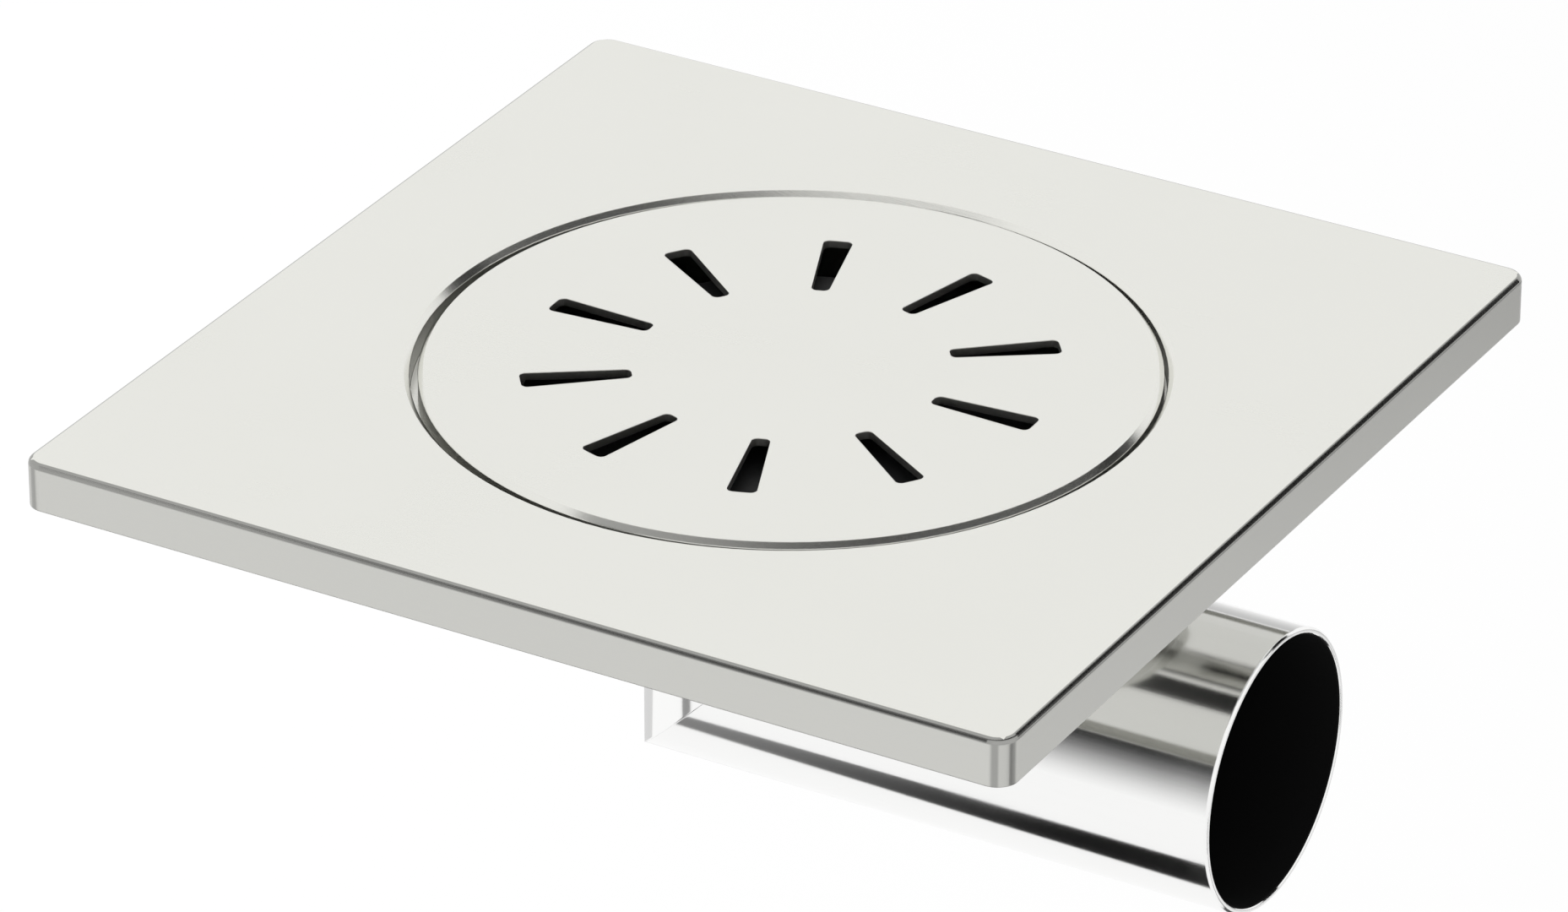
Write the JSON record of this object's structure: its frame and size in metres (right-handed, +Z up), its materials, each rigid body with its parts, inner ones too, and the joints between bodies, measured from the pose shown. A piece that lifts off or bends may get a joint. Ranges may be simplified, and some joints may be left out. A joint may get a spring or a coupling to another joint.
{
  "type": "floor drain",
  "caption": "Square stainless floor drain with a loose round slotted grate, a drawn trap pot with a bell, and a mitred round side outlet.",
  "frame": {"origin": "middle of the plane that the frame's skirt beds on, under the centre of the grate's seat", "axes": "+X along the outlet towards its mouth, +Z up out of the floor, +Y across the outlet"},
  "size_m": [0.1505, 0.15, 0.062],
  "materials": {
    "satin_steel": "satin",
    "drawn_steel": "satin",
    "tube_steel": "polished",
    "black_plastic": "matte"
  },
  "bodies": {
    "root": {"top_frame": "satin_steel", "grate": "satin_steel", "trap_pot": "drawn_steel", "standpipe": "tube_steel", "outlet_pipe": "tube_steel", "trap_bell": "black_plastic"}
  },
  "joints": []
}
